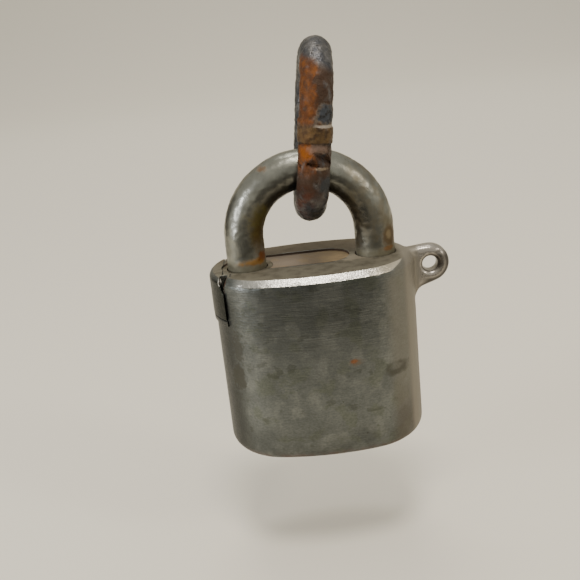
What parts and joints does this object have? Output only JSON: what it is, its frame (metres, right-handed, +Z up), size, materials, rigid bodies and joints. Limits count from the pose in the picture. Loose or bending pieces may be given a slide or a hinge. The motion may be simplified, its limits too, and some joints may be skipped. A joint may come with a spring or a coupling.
{
  "type": "rusty padlock",
  "caption": "Weathered shackle padlock with a side ear and end keeper, closed on a worn chain link.",
  "frame": {"origin": "centre of the case's flat bottom, at the keyway's mouth", "axes": "+Z up to the shackle's crown, +X towards the ear, -Y the broad front face; the key enters along +Z"},
  "size_m": [0.0682, 0.038, 0.114],
  "materials": {
    "case_steel": "cast and ground, dull, with rust spots",
    "plug_steel": "tan brown, matt",
    "shackle_steel": "satin, with rust at the legs",
    "link_steel": "dark, rusted",
    "hidden_steel": "plain",
    "lock_brass": "dull"
  },
  "bodies": {
    "case": {"case": "case_steel", "heel_keeper": "case_steel", "heel_collar": "case_steel", "top_plug": "plug_steel", "cylinder_shell": "lock_brass", "driver_pins": "hidden_steel", "pin_springs": "hidden_steel", "pin_spring_cover": "lock_brass", "retainer_bar": "hidden_steel", "retainer_screw": "hidden_steel"},
    "shackle": {"shackle": "shackle_steel", "shackle_spring": "hidden_steel", "chain_link": "link_steel"},
    "core": {"cylinder_plug": "lock_brass", "key_pins": "lock_brass", "plug_clip": "hidden_steel", "tailpiece": "hidden_steel", "lock_cam": "hidden_steel"},
    "left_ball": {"lock_ball_left": "hidden_steel"},
    "right_ball": {"lock_ball_right": "hidden_steel"}
  },
  "joints": [
    {"name": "shackle_lift", "type": "slide", "parent": "case", "child": "shackle", "axis": [0, 0, 1], "range_m": [0, 0.022], "deforming": ["shackle_spring"]},
    {"name": "core_turn", "type": "hinge", "parent": "case", "child": "core", "pos_m": [0, 0, 0], "axis": [0, 0, 1], "range_deg": [-90, 0]},
    {"name": "left_ball_slide", "type": "slide", "parent": "case", "child": "left_ball", "axis": [-1, 0, 0], "range_m": [0, 0.0022]},
    {"name": "right_ball_slide", "type": "slide", "parent": "case", "child": "right_ball", "axis": [1, 0, 0], "range_m": [0, 0.0022]}
  ],
  "couplings": [
    {"joint": "left_ball_slide", "follows": "core_turn", "m_per_rad": -0.0014006},
    {"joint": "right_ball_slide", "follows": "core_turn", "m_per_rad": -0.0014006}
  ]
}
